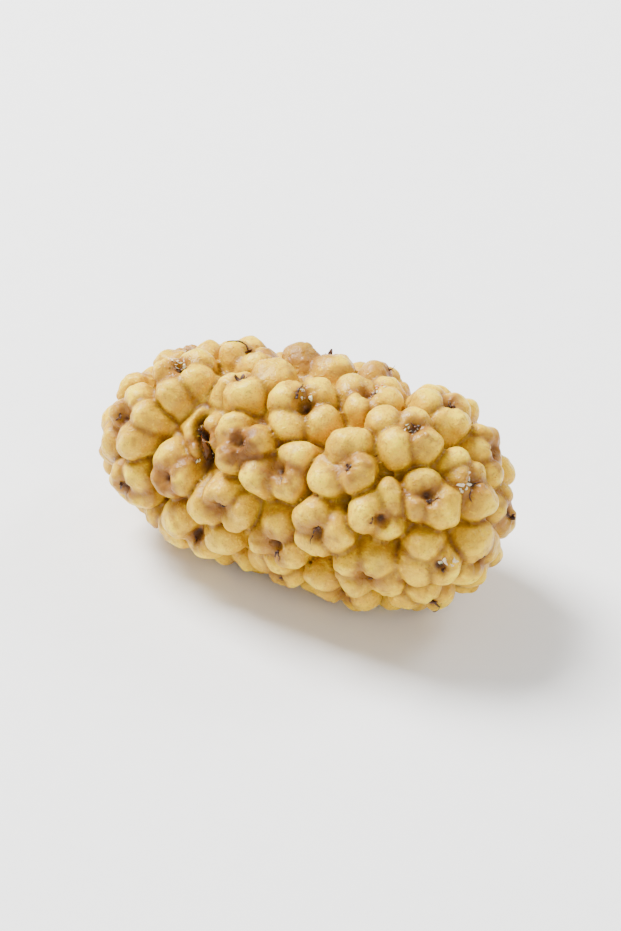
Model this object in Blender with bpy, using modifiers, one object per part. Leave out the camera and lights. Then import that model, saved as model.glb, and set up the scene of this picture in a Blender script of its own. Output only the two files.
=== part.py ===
"""A dried white mulberry lying on its side, with the short dried stalk that it hung from.

Metres, +Z up. +X runs along the fruit, from the stalk end to the blunt tip. The origin lies on
the surface that the fruit rests on, under the middle of the box round fruit and stalk.

A mulberry is many small fruitlets grown together on one core. Each fruitlet is the three or four
swollen lobes of one flower, crowded round a pit that held the flower's style. The lobes press
against each other all over the fruit until no room is left between them.
"""

import math
import random

import bmesh
import bpy
import numpy as np
from mathutils import Matrix, Vector

# Driving dimensions of the whole fruit, over the tops of its lobes
FRUIT_LENGTH = 0.0207
FRUIT_WIDTH = 0.0114
FLATTENING = 0.95  # height over width: a soft fruit sags as it dries lying down
TAPER = 0.07  # share by which the tip end is wider, and the stalk end narrower
BLUNTNESS = 3.0  # 2 is an ellipse, more is squarer ends
BOW = 0.0006  # how far the middle bends sideways
PRESSED_FLAT = 0.00040  # how much of the lowest lobes is pressed flat
LEVEL = 0.037  # rise towards the wider tip, so that the underside lies level
ORIGIN_TO_MIDDLE = Vector((0.0005, -0.0006, 0.0))  # middle of the fruit from the origin

# The fruitlets of the upper side: the pit's place along the fruit in millimetres, its turn in
# degrees from straight up towards -Y, the number of lobes, and the bearing of the first one, in
# degrees from +X towards the top
UPPER_FRUITLETS = (
    (-8.1, 51, 4, 83),
    (-6.2, 11, 4, 90),
    (-4.6, 80, 3, 102),
    (-3.7, -19, 3, 90),
    (-3.4, 50, 2, 102),
    (-2.7, 14, 3, 60),
    (-1.6, 84, 3, 100),
    (-1.2, 48, 3, 119),
    (0.7, 18, 4, 180),
    (1.0, 57, 3, 56),
    (1.3, 98, 3, 68),
    (2.9, -4, 3, -111),
    (3.5, 80, 3, 20),
    (4.2, 44, 3, 95),
    (5.9, 104, 4, 65),
    (6.0, 10, 4, 85),
    (6.3, 65, 3, 82),
    (8.0, 43, 3, 107),
    (9.0, 94, 3, 81),
    (9.3, 13, 4, 170),
    (10.1, 122, 3, 72),
)

# The other fruitlets, spread over the rest of the fruit, and the lobes that crowd round the pits
SPIRAL_FRUITLETS = 68
PIT_SPACING = 0.0033
PIT_ROOM = 0.70  # a spiral pit goes if it lies nearer to a placed one than this share of the spacing
PIT_ROUNDS = 80
GOLDEN_ANGLE = math.pi * (3 - math.sqrt(5))
FOUR_LOBES_CHANCE = 0.35
LOBE_OUT = 0.00135  # half sizes of a lobe: outwards, across the pit's side, and away from the pit
LOBE_ACROSS = 0.00120
LOBE_AWAY = 0.00108
SMALL_LOBE = 0.84
LOBE_FROM_PIT = 0.00102
LOBE_LEAN = math.radians(12)
LOBE_RISE = 0.00022  # how much one lobe may stand above another
SIZE_SPREAD = 0.15
CROWDING = 0.88  # lobes stand at this share of their summed half sizes
CROWDING_ROUNDS = 60
PUSH, PULL = 0.35, 0.04
NEIGHBOURS = 5  # a lobe swells or shrinks to fill the room between this many neighbours
SWELL_LIMITS = (0.85, 1.35)
STALK_ROOM = 0.0013  # no lobe stands nearer to the stalk than this and its own half size
CORE_DEPTH = 0.00145  # the core lies this far under the lobe tops
SEED = 7

# A fold where a few fruitlets dried out: its middle along and round the fruit, and its reach
FOLD_ALONG = -0.0034
FOLD_TURN = math.radians(52)  # from straight up, towards -Y
FOLD_HALF_LENGTH = 0.0021
FOLD_HALF_WIDTH = 0.0011
FOLD_DEPTH = 0.00085

# The upper side has shrunk unevenly into shallow hollows, which wind a little round the fruit
SAG_DEPTH = 0.0006
SAG_SPACING = 0.0062  # along the fruit, from one hollow to the next
SAG_START = 0.0009
SAG_TWIST = 1.2

# The dried stalk, from its root in the core to its torn end, with the radius at each point
STALK_ROUTE = (
    (Vector((-0.0078, 0.0000, 0.0046)), 0.00048),
    (Vector((-0.0092, 0.0001, 0.0046)), 0.00048),
    (Vector((-0.0101, 0.0005, 0.0043)), 0.00047),
    (Vector((-0.0105, 0.0015, 0.0035)), 0.00049),
    (Vector((-0.0105, 0.0028, 0.0025)), 0.00058),
)
STALK_STEPS = 5  # points between two route points
STALK_GAP = 0.0003
SOCKET_LENGTH = 0.0040

HALF_LENGTH = FRUIT_LENGTH / 2
HALF_WIDTH = FRUIT_WIDTH / 2
PROFILE_STEPS = 1201
LOBE_SUBDIVISIONS = 2
CORE_SEGMENTS, CORE_RINGS = 16, 12
SKIN_VOXEL = 0.00018
FACES_KEPT = 0.15
FLOOR_CUT = Vector((0.05, 0.05, 0.01))


def clear_scene():
    for thing in list(bpy.data.objects):
        bpy.data.objects.remove(thing, do_unlink=True)


def new_collection(name):
    collection = bpy.data.collections.new(name)
    bpy.context.scene.collection.children.link(collection)
    return collection


def material(name, colour, roughness):
    made = bpy.data.materials.new(name)
    made.use_nodes = True
    shader = made.node_tree.nodes["Principled BSDF"]
    shader.inputs["Base Color"].default_value = (*colour, 1.0)
    shader.inputs["Roughness"].default_value = roughness
    shader.inputs["Metallic"].default_value = 0.0
    return made


def profile():
    """Station, radius and slope of the skin over the lobe tops, from the stalk end to the tip."""
    turn = np.linspace(0.0, math.pi, PROFILE_STEPS)
    share = -np.cos(turn)
    radius = HALF_WIDTH * np.sqrt(1 - np.abs(share) ** BLUNTNESS) * (1 + TAPER * share)
    along = share * HALF_LENGTH
    slope = np.arctan2(-np.gradient(radius), np.gradient(along))
    return along, radius, slope


def on_skin(points, along, radius, slope):
    """The nearest points of the skin, and the ways out of the fruit there."""
    off_axis = np.hypot(points[:, 1], points[:, 2])
    gap = (along[None, :] - points[:, :1]) ** 2 + (radius[None, :] - off_axis[:, None]) ** 2
    step = gap.argmin(axis=1)
    angle = np.arctan2(points[:, 2], points[:, 1])
    ring = np.stack([np.zeros_like(angle), np.cos(angle), np.sin(angle)], axis=1)
    axis = np.array([[1.0, 0.0, 0.0]])
    skin = along[step, None] * axis + radius[step, None] * ring
    out = np.sin(slope[step, None]) * axis + np.cos(slope[step, None]) * ring
    return skin, out


def spiral(along, radius):
    """Pits in one spiral over the fruit, each with the same share of the skin."""
    strip = np.hypot(np.diff(along), np.diff(radius)) * (radius[1:] + radius[:-1])
    covered = np.concatenate([[0.0], np.cumsum(strip)])
    share = 1 - (np.arange(SPIRAL_FRUITLETS) + 0.5) / SPIRAL_FRUITLETS
    x = np.interp(share * covered[-1], covered, along)
    r = np.interp(share * covered[-1], covered, radius)
    angle = np.arange(SPIRAL_FRUITLETS) * GOLDEN_ANGLE
    return np.stack([x, r * np.cos(angle), r * np.sin(angle)], axis=1)


def pits(skin_of, along, radius):
    """Every fruitlet's pit: the placed ones first, then the others, pushed evenly between them."""
    table = np.array(UPPER_FRUITLETS)
    x, turn = table[:, 0] / 1000, np.radians(table[:, 1])
    r = np.interp(x, along, radius)
    placed = np.stack([x, -r * np.sin(turn), r * np.cos(turn)], axis=1)
    others = spiral(along, radius)
    room = np.linalg.norm(others[:, None, :] - placed[None, :, :], axis=2).min(axis=1)
    others = others[room > PIT_SPACING * PIT_ROOM]
    for _ in range(PIT_ROUNDS):
        apart = others[:, None, :] - np.concatenate([placed, others])[None, :, :]
        distance = np.linalg.norm(apart, axis=2) + 1e-9
        lack = np.clip(PIT_SPACING - distance, 0.0, None) * (distance > 1e-8)
        push = PUSH * (apart / distance[:, :, None] * lack[:, :, None]).sum(axis=1)
        others, _out = skin_of(others + push)
    return np.concatenate([placed, others])


def crowd(points, pit, reach, skin_of):
    """Lets the lobes push each other aside over the skin, while each stays by its own pit."""
    stalk = np.array([-HALF_LENGTH, 0.0, 0.0])
    for _ in range(CROWDING_ROUNDS):
        apart = points[:, None, :] - points[None, :, :]
        distance = np.linalg.norm(apart, axis=2) + 1e-9
        wanted = CROWDING * (reach[:, None] + reach[None, :])
        lack = np.clip(wanted - distance, 0.0, None)
        np.fill_diagonal(lack, 0.0)
        push = PUSH * (apart / distance[:, :, None] * lack[:, :, None]).sum(axis=1)
        away = points - pit
        length = np.linalg.norm(away, axis=1, keepdims=True) + 1e-9
        pull = PULL * away / length * (LOBE_FROM_PIT - length)
        from_stalk = points - stalk
        room = np.linalg.norm(from_stalk, axis=1, keepdims=True)
        clear = from_stalk / room * np.clip(STALK_ROOM + reach[:, None] - room, 0.0, None)
        points, out = skin_of(points + push + pull + clear)
    return points, out


def swell(points, reach):
    """How much each lobe grows to meet its neighbours, or shrinks where they are close."""
    distance = np.linalg.norm(points[:, None, :] - points[None, :, :], axis=2)
    near = np.sort(distance, axis=1)[:, 1 : NEIGHBOURS + 1].mean(axis=1)
    return np.clip(near / (2 * CROWDING * reach), *SWELL_LIMITS)


def fold_share(point):
    """How deep in the dried fold a point of the skin lies, from 0 outside to 1 on its line."""
    turn = math.atan2(-point[1], point[2]) - FOLD_TURN
    round_it = turn * HALF_WIDTH / FOLD_HALF_LENGTH
    along_it = (point[0] - FOLD_ALONG) / FOLD_HALF_WIDTH
    return math.exp(-(along_it**2) - round_it**2)


def sag(point):
    """How far the skin at a point has sunk into the nearest hollow."""
    turned = math.atan2(-point[1], point[2])
    wave = math.sin(math.tau * (point[0] - SAG_START) / SAG_SPACING + SAG_TWIST * turned)
    return SAG_DEPTH * (0.5 + 0.5 * math.cos(turned)) * (0.5 + 0.5 * wave) ** 2


def lie_down(point):
    """A point of the straight round fruit, moved to the bent and slightly flattened one."""
    bent = BOW * (1 - (point[0] / HALF_LENGTH) ** 2)
    height = (point[2] + HALF_WIDTH) * FLATTENING + point[0] * LEVEL - PRESSED_FLAT
    return Vector((point[0], point[1] + bent, height)) + ORIGIN_TO_MIDDLE


def lobe_matrices():
    """One matrix for each lobe, which turns a unit ball into the lobe where it grows."""
    rng = random.Random(SEED)
    along, radius, slope = profile()

    def skin_of(points):
        return on_skin(points, along, radius, slope)

    start, owner, size = [], [], []
    for number, pit in enumerate(pits(skin_of, along, radius)):
        if number < len(UPPER_FRUITLETS):
            count, bearing = UPPER_FRUITLETS[number][2], math.radians(UPPER_FRUITLETS[number][3])
        else:
            count = 4 if rng.random() < FOUR_LOBES_CHANCE else 3
            bearing = rng.uniform(0, math.tau)
        side = Vector((0.0, pit[1], pit[2])).normalized().cross(Vector((1, 0, 0)))
        for lobe in range(count):
            angle = bearing + math.tau * lobe / count
            shift = math.cos(angle) * Vector((1, 0, 0)) + math.sin(angle) * side
            start.append(pit + np.array(shift) * LOBE_FROM_PIT)
            owner.append(pit)
            kind = 1.0 if lobe % 2 == 0 else SMALL_LOBE
            size.append(kind * (1 + rng.uniform(-SIZE_SPREAD, SIZE_SPREAD)))
    pit = np.array(owner)
    size = np.array(size)
    reach = size * (LOBE_AWAY + LOBE_ACROSS) / 2
    skin, out = crowd(np.array(start), pit, reach, skin_of)
    size = size * swell(skin, reach)
    made = []
    for number, centre in enumerate(skin):
        outward = Vector(out[number])
        away = Vector(centre - pit[number])
        away = (away - away.dot(outward) * outward).normalized()
        lean = Matrix.Rotation(LOBE_LEAN, 3, outward.cross(away))
        outward, away = lean @ outward, lean @ away
        half = Vector((LOBE_AWAY, LOBE_ACROSS, LOBE_OUT)) * size[number]
        sunk = half.z + rng.uniform(0, LOBE_RISE) + fold_share(centre) * FOLD_DEPTH + sag(centre)
        place = lie_down(Vector(centre) - outward * sunk)
        axes = Matrix((away, outward.cross(away), outward)).transposed()
        made.append(Matrix.LocRotScale(place, axes.to_quaternion(), half))
    return made


def add_mesh(name, collection, build):
    mesh = bpy.data.meshes.new(name)
    shape = bmesh.new()
    build(shape)
    shape.to_mesh(mesh)
    shape.free()
    thing = bpy.data.objects.new(name, mesh)
    collection.objects.link(thing)
    return thing


def core(shape):
    """The fleshy core that all the fruitlets grow from."""
    bmesh.ops.create_uvsphere(shape, u_segments=CORE_SEGMENTS, v_segments=CORE_RINGS, radius=1.0)
    length = HALF_LENGTH - CORE_DEPTH
    width = HALF_WIDTH - CORE_DEPTH
    for corner in shape.verts:
        ball = corner.co
        corner.co = lie_down(Vector((ball.z * length, ball.y * width, ball.x * width)))
    bmesh.ops.recalc_face_normals(shape, faces=shape.faces)


def boolean(target, operation, **operand):
    modifier = target.modifiers.new(operation.lower(), "BOOLEAN")
    modifier.operation = operation
    modifier.solver = "MANIFOLD"
    for name, value in operand.items():
        setattr(modifier, name, value)
    return modifier


def fuse(target, loose):
    """Joins every lobe to the core with one Boolean union, then removes the loose lobes."""
    boolean(target, "UNION", operand_type="COLLECTION", collection=loose)
    graph = bpy.context.evaluated_depsgraph_get()
    fused = bpy.data.meshes.new_from_object(target.evaluated_get(graph))
    target.modifiers.clear()
    target.data = fused
    for lobe in list(loose.objects):
        bpy.data.objects.remove(lobe, do_unlink=True)
    bpy.data.collections.remove(loose)


def even_skin(target):
    """Gives the fused skin evenly sized faces, and then only as many as its shape needs."""
    even = target.modifiers.new("even faces", "REMESH")
    even.mode = "VOXEL"
    even.voxel_size = SKIN_VOXEL
    fewer = target.modifiers.new("fewer faces", "DECIMATE")
    fewer.ratio = FACES_KEPT


def helper(thing):
    thing.hide_render = True
    thing.display_type = "WIRE"
    return thing


def floor_block(shape):
    """The block under the fruit, whose top presses the lowest lobes flat."""
    low = Matrix.Translation((0, 0, -FLOOR_CUT.z / 2))
    bmesh.ops.create_cube(shape, size=1.0, matrix=low @ Matrix.Diagonal(FLOOR_CUT.to_4d()))


def socket(shape):
    """The hole in the stalk end that the stalk's root stands in."""
    root, radius = STALK_ROUTE[0]
    inner = root.x - STALK_GAP
    middle = Matrix.Translation((inner - SOCKET_LENGTH / 2 + 2 * STALK_GAP, root.y, root.z))
    bmesh.ops.create_cone(
        shape,
        cap_ends=True,
        segments=12,
        radius1=radius + STALK_GAP,
        radius2=radius + STALK_GAP,
        depth=SOCKET_LENGTH,
        matrix=Matrix.Translation(ORIGIN_TO_MIDDLE)
        @ middle
        @ Matrix.Rotation(math.pi / 2, 4, "Y"),
    )


def smooth_route(route, steps):
    """Points along a smooth curve through the route's points, each with its radius."""
    spots = [route[0], *route, route[-1]]
    made = []
    for before, here, there, after in zip(spots, spots[1:], spots[2:], spots[3:]):
        for step in range(steps):
            t = step / steps
            weights = (
                -t / 2 + t**2 - t**3 / 2,
                1 - 2.5 * t**2 + 1.5 * t**3,
                t / 2 + 2 * t**2 - 1.5 * t**3,
                -(t**2) / 2 + t**3 / 2,
            )
            near = (before, here, there, after)
            place = sum((w * s[0] for w, s in zip(weights, near)), Vector())
            made.append((place, sum(w * s[1] for w, s in zip(weights, near))))
    return made + [route[-1]]


def add_stalk(collection):
    curve = bpy.data.curves.new("stalk", "CURVE")
    curve.dimensions = "3D"
    curve.bevel_depth = 1.0
    curve.bevel_resolution = 2
    curve.use_fill_caps = True
    spline = curve.splines.new("POLY")
    route = smooth_route(STALK_ROUTE, STALK_STEPS)
    spline.points.add(len(route) - 1)
    for point, (place, radius) in zip(spline.points, route):
        point.co = (*(place + ORIGIN_TO_MIDDLE), 1.0)
        point.radius = radius
    stalk = bpy.data.objects.new("stalk", curve)
    collection.objects.link(stalk)
    return stalk


def main():
    clear_scene()
    parts = new_collection("Dried mulberry")
    cutters = new_collection("Cutters")
    lobes = new_collection("Lobes")
    fruit = add_mesh("fruit", parts, core)
    for number, matrix in enumerate(lobe_matrices()):
        add_mesh(
            f"lobe {number}",
            lobes,
            lambda shape, grown=matrix: bmesh.ops.create_icosphere(
                shape, subdivisions=LOBE_SUBDIVISIONS, radius=1.0, matrix=grown
            ),
        )
    fuse(fruit, lobes)
    even_skin(fruit)
    for name, build in (("floor block", floor_block), ("stalk socket", socket)):
        cutter = helper(add_mesh(name, cutters, build))
        boolean(fruit, "DIFFERENCE", object=cutter)
    fruit.data.materials.clear()
    fruit.data.materials.append(material("dried fruit flesh", (0.72, 0.51, 0.22), 0.50))
    stalk = add_stalk(parts)
    stalk.data.materials.append(material("dried stalk", (0.56, 0.37, 0.14), 0.62))


main()
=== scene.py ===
# %% [markdown]
# # A dried white mulberry
#
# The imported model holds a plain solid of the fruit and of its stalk. This lesson dresses both:
# a fine skin of swollen and shrunken lobes, the dark dried styles in the pits, and a ribbed
# fibrous stalk. Every length is in metres, +X runs from the stalk end to the blunt tip, and +Z
# is up from the surface that the fruit lies on.

import math
import random

import bmesh
import bpy
import numpy as np
from mathutils import Matrix, Vector
from mathutils.bvhtree import BVHTree


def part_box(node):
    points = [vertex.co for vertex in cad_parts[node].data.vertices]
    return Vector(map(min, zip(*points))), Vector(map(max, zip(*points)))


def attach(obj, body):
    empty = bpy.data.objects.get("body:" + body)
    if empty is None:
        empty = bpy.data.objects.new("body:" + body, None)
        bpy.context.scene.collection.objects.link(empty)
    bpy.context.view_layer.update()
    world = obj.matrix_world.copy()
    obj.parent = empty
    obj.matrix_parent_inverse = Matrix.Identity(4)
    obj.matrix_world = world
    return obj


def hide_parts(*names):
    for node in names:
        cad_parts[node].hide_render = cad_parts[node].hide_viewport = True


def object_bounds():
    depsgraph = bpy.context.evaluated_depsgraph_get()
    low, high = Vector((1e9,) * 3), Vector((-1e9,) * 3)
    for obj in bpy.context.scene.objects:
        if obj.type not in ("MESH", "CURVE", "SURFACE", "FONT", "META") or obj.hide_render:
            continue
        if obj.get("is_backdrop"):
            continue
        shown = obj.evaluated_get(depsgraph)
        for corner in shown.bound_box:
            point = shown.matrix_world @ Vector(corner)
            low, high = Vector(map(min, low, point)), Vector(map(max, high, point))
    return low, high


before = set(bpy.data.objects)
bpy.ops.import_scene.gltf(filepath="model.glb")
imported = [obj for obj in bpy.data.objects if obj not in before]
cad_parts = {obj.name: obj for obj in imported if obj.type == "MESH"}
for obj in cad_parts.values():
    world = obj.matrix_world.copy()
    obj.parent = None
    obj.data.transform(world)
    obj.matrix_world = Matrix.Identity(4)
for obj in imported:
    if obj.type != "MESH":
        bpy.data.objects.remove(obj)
CAD_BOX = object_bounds()
MM = 0.001

# %% [markdown]
# ## Camera
#
# The photograph looks down on the fruit at about 35 degrees, from a little to the right of its
# long side. A long lens, as is used for small things, keeps the far end nearly as large as the
# near one. The distance follows from how much of the picture's width the fruit fills.

# %% Camera
AZIMUTH, ELEVATION = 30, 35  # in degrees: from -Y towards +X, and up
PICTURE_WIDTH, PICTURE_HEIGHT = 621, 931
LENS = 135.0
SENSOR = 36.0
SEEN_WIDTH = 27.6 * MM  # how much the picture's width takes in, at the fruit
FRUIT_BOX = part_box("fruit")
AIM = (Vector(FRUIT_BOX[0]) + Vector(FRUIT_BOX[1])) / 2


def in_scene(name, data):
    """A new object in the scene, made of a camera, a lamp or a mesh."""
    made = bpy.data.objects.new(name, data)
    bpy.context.scene.collection.objects.link(made)
    return made


def face_fruit(made, azimuth, elevation, far):
    """Places a camera or a lamp round the fruit and turns it towards the fruit."""
    a, e = math.radians(azimuth), math.radians(elevation)
    aside = Vector((math.sin(a) * math.cos(e), -math.cos(a) * math.cos(e), math.sin(e)))
    made.location = AIM + aside * far
    made.rotation_mode = "QUATERNION"
    made.rotation_quaternion = (-aside).to_track_quat("-Z", "Y")


seen_height = SEEN_WIDTH * PICTURE_HEIGHT / PICTURE_WIDTH
distance = seen_height * LENS / SENSOR
camera = in_scene("camera", bpy.data.cameras.new("camera"))
camera.data.lens = LENS
camera.data.sensor_width = SENSOR
camera.data.clip_start = 10 * MM
face_fruit(camera, AZIMUTH, ELEVATION, distance)
bpy.context.scene.camera = camera
print(f"camera {distance / MM:.0f} mm from the fruit")

# %% [markdown]
# ## Colours and nodes
#
# Colours are noted as sRGB hex codes, but light adds up linearly, so one function turns a code
# into linear values. A second one adds a shader node, sets its options and fills or links its
# inputs. A natural surface is many colours over each other, so a third one lays a list of colours
# over a ground. Each shows where its number, such as the depth of a crease, is high in its span.

# %% Colour and node helpers
def linear(code):
    """The linear RGBA values of an sRGB hex code."""
    parts = [int(code[place : place + 2], 16) / 255 for place in (1, 3, 5)]
    return (*(p / 12.92 if p <= 0.04045 else ((p + 0.055) / 1.055) ** 2.4 for p in parts), 1.0)


def add_node(tree, kind, inputs, **options):
    """Adds one shader node, sets its options, and fills each input with a value or a link."""
    node = tree.nodes.new("ShaderNode" + kind)
    for name, value in options.items():
        setattr(node, name, value)
    for name, value in inputs.items():
        if isinstance(value, bpy.types.NodeSocket):
            tree.links.new(value, node.inputs[name])
        else:
            node.inputs[name].default_value = value
    return node


def new_material(name):
    """An empty material, with its output node."""
    made = bpy.data.materials.new(name)
    made.use_nodes = True
    made.node_tree.nodes.clear()
    return made, made.node_tree, made.node_tree.nodes.new("ShaderNodeOutputMaterial")


MIX_A, MIX_B, MIX_RESULT = 6, 7, 2  # the colour sockets of a Mix node


def layered(tree, colour, layers):
    """Lays colours over a ground, each where its number lies between two values, up to a share."""
    for number, low, high, most, over in layers:
        share = add_node(
            tree,
            "MapRange",
            {"Value": number, "From Min": low, "From Max": high, "To Min": 0.0, "To Max": most},
        )
        mixed = add_node(
            tree,
            "Mix",
            {"Factor": share.outputs["Result"], MIX_A: colour, MIX_B: linear(over)},
            data_type="RGBA",
        )
        colour = mixed.outputs[MIX_RESULT]
    return colour


# %% [markdown]
# ## Floor and light
#
# The pale floor only catches the shadow. White studio board is matt, so its roughness is high.
# The photograph is bright and soft: a wide lamp stands up and to the left, behind the fruit, a
# weaker one fills in from the front, and a white sky lightens every shadow.

# %% Floor
BOARD_GRAIN = MM / 0.9
FLOOR_HALF = 0.6


def mesh_of(shape, name):
    """A finished shape as a mesh."""
    mesh = bpy.data.meshes.new(name)
    shape.to_mesh(mesh)
    shape.free()
    return mesh


board, tree, output = new_material("white studio board")
grain = add_node(tree, "TexNoise", {"Scale": 1 / BOARD_GRAIN, "Detail": 3.0})
paper = add_node(
    tree,
    "Mix",
    {"Factor": grain.outputs["Fac"], MIX_A: linear("#F6F6F5"), MIX_B: linear("#FBFBFA")},
    data_type="RGBA",
)
shader = add_node(
    tree, "BsdfPrincipled", {"Base Color": paper.outputs[MIX_RESULT], "Roughness": 0.85}
)
tree.links.new(shader.outputs["BSDF"], output.inputs["Surface"])

shape = bmesh.new()
bmesh.ops.create_grid(shape, x_segments=1, y_segments=1, size=FLOOR_HALF)
floor = in_scene("floor", mesh_of(shape, "floor"))
floor.data.materials.append(board)
floor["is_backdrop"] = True

# %% Lights
LAMPS = (  # name, azimuth and elevation in degrees, distance, width in metres, watts
    ("window", -100, 50, 0.30, 0.13, 3.20),
    ("front fill", 50, 30, 0.32, 0.20, 0.50),
    ("rim", 150, 40, 0.30, 0.10, 0.45),
)
SKY = ("#FFFFFF", 0.50)  # colour and strength

for name, azimuth, elevation, far, width, watts in LAMPS:
    lamp = in_scene(name, bpy.data.lights.new(name, "AREA"))
    lamp.data.size = width
    lamp.data.energy = watts
    face_fruit(lamp, azimuth, elevation, far)

world = bpy.data.worlds.new("white sky")
world.use_nodes = True
sky = world.node_tree.nodes["Background"]
sky.inputs["Color"].default_value = linear(SKY[0])
sky.inputs["Strength"].default_value = SKY[1]
bpy.context.scene.world = world

# %% [markdown]
# ## Where the lobes grow
#
# A mulberry is dozens of tiny fruitlets on one core, and each fruitlet is three or four swollen
# lobes round a pit. The solid was grown by a rule: pits spread over a blunt spindle, lobes set
# round each pit, and then every lobe pushed its neighbours aside until all had room. The same
# rule with the same numbers is run here, so that the fine skin lies on the solid.

# %% The fruit's measures
FRUIT_LENGTH = 0.0207
FRUIT_WIDTH = 0.0114
FLATTENING = 0.95
TAPER = 0.07
BLUNTNESS = 3.0
BOW = 0.0006
PRESSED_FLAT = 0.00040
LEVEL = 0.037
ORIGIN_TO_MIDDLE = np.array([0.0005, -0.0006, 0.0])
HALF_LENGTH = FRUIT_LENGTH / 2
HALF_WIDTH = FRUIT_WIDTH / 2
TINY = 1e-9  # added to a length that is divided by, in case it is zero

turn = np.linspace(0.0, math.pi, 1201)
share = -np.cos(turn)
ALONG = share * HALF_LENGTH
RADIUS = HALF_WIDTH * np.sqrt(1 - np.abs(share) ** BLUNTNESS) * (1 + TAPER * share)
SLOPE = np.arctan2(-np.gradient(RADIUS), np.gradient(ALONG))


def skin_of(points):
    """The nearest points of the spindle that the lobe tops touch, and the ways out of it."""
    off_axis = np.hypot(points[:, 1], points[:, 2])
    gap = (ALONG[None, :] - points[:, :1]) ** 2 + (RADIUS[None, :] - off_axis[:, None]) ** 2
    step = gap.argmin(axis=1)
    angle = np.arctan2(points[:, 2], points[:, 1])
    ring = np.stack([np.zeros_like(angle), np.cos(angle), np.sin(angle)], axis=1)
    axis = np.array([[1.0, 0.0, 0.0]])
    skin = ALONG[step, None] * axis + RADIUS[step, None] * ring
    return skin, np.sin(SLOPE[step, None]) * axis + np.cos(SLOPE[step, None]) * ring


def on_spindle(along, turned):
    """Points on the spindle, from places along it in mm and turns in degrees from up to -Y."""
    x, a = np.array(along) / 1000, np.radians(turned)
    r = np.interp(x, ALONG, RADIUS)
    return np.stack([x, -r * np.sin(a), r * np.cos(a)], axis=-1)


def lie_down(points):
    """Points of the straight round fruit, moved to the bent and slightly flattened one."""
    bent = BOW * (1 - (points[:, 0] / HALF_LENGTH) ** 2)
    height = (points[:, 2] + HALF_WIDTH) * FLATTENING + points[:, 0] * LEVEL - PRESSED_FLAT
    return np.stack([points[:, 0], points[:, 1] + bent, height], axis=1) + ORIGIN_TO_MIDDLE


def stand_up(points):
    """The way back: points of the lying fruit on the straight round one."""
    moved = points - ORIGIN_TO_MIDDLE
    bent = BOW * (1 - (moved[:, 0] / HALF_LENGTH) ** 2)
    height = (moved[:, 2] + PRESSED_FLAT - moved[:, 0] * LEVEL) / FLATTENING - HALF_WIDTH
    return np.stack([moved[:, 0], moved[:, 1] - bent, height], axis=1)


# %% The pits
UPPER_FRUITLETS = (  # place along in mm, turn in degrees from up to -Y, lobes, first bearing
    (-8.1, 51, 4, 83),
    (-6.2, 11, 4, 90),
    (-4.6, 80, 3, 102),
    (-3.7, -19, 3, 90),
    (-3.4, 50, 2, 102),
    (-2.7, 14, 3, 60),
    (-1.6, 84, 3, 100),
    (-1.2, 48, 3, 119),
    (0.7, 18, 4, 180),
    (1.0, 57, 3, 56),
    (1.3, 98, 3, 68),
    (2.9, -4, 3, -111),
    (3.5, 80, 3, 20),
    (4.2, 44, 3, 95),
    (5.9, 104, 4, 65),
    (6.0, 10, 4, 85),
    (6.3, 65, 3, 82),
    (8.0, 43, 3, 107),
    (9.0, 94, 3, 81),
    (9.3, 13, 4, 170),
    (10.1, 122, 3, 72),
)
SPIRAL_FRUITLETS = 68
PIT_SPACING = 0.0033
PIT_ROOM = 0.70
PIT_ROUNDS = 80
GOLDEN_ANGLE = math.pi * (3 - math.sqrt(5))
PUSH, PULL = 0.35, 0.04


def pushed(points, others, room):
    """How far each point is pushed off by the others that leave it less than its room."""
    apart = points[:, None, :] - others[None, :, :]
    distance = np.linalg.norm(apart, axis=2) + TINY
    lack = np.clip(room - distance, 0.0, None) * (distance > 10 * TINY)
    return PUSH * (apart / distance[:, :, None] * lack[:, :, None]).sum(axis=1)


def spread_pits():
    """Every fruitlet's pit: the placed ones first, then the others, pushed evenly between them."""
    table = np.array(UPPER_FRUITLETS)
    placed = on_spindle(table[:, 0], table[:, 1])
    strip = np.hypot(np.diff(ALONG), np.diff(RADIUS)) * (RADIUS[1:] + RADIUS[:-1])
    covered = np.concatenate([[0.0], np.cumsum(strip)])
    part = (1 - (np.arange(SPIRAL_FRUITLETS) + 0.5) / SPIRAL_FRUITLETS) * covered[-1]
    x, r = np.interp(part, covered, ALONG), np.interp(part, covered, RADIUS)
    angle = np.arange(SPIRAL_FRUITLETS) * GOLDEN_ANGLE
    others = np.stack([x, r * np.cos(angle), r * np.sin(angle)], axis=1)
    room = np.linalg.norm(others[:, None, :] - placed[None, :, :], axis=2).min(axis=1)
    others = others[room > PIT_SPACING * PIT_ROOM]
    for _ in range(PIT_ROUNDS):
        push = pushed(others, np.concatenate([placed, others]), PIT_SPACING)
        others, _out = skin_of(others + push)
    return np.concatenate([placed, others])


PITS = spread_pits()
print(f"{len(PITS)} pits")

# %% The lobes round the pits
FOUR_LOBES_CHANCE = 0.35
LOBE_OUT = 0.00135
LOBE_ACROSS = 0.00120
LOBE_AWAY = 0.00108
SMALL_LOBE = 0.84
LOBE_FROM_PIT = 0.00102
LOBE_LEAN = math.radians(12)
LOBE_RISE = 0.00022
SIZE_SPREAD = 0.15
CROWDING = 0.88
CROWDING_ROUNDS = 60
NEIGHBOURS = 5
SWELL_LIMITS = (0.85, 1.35)
STALK_ROOM = 0.0013
SEED = 7


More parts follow.
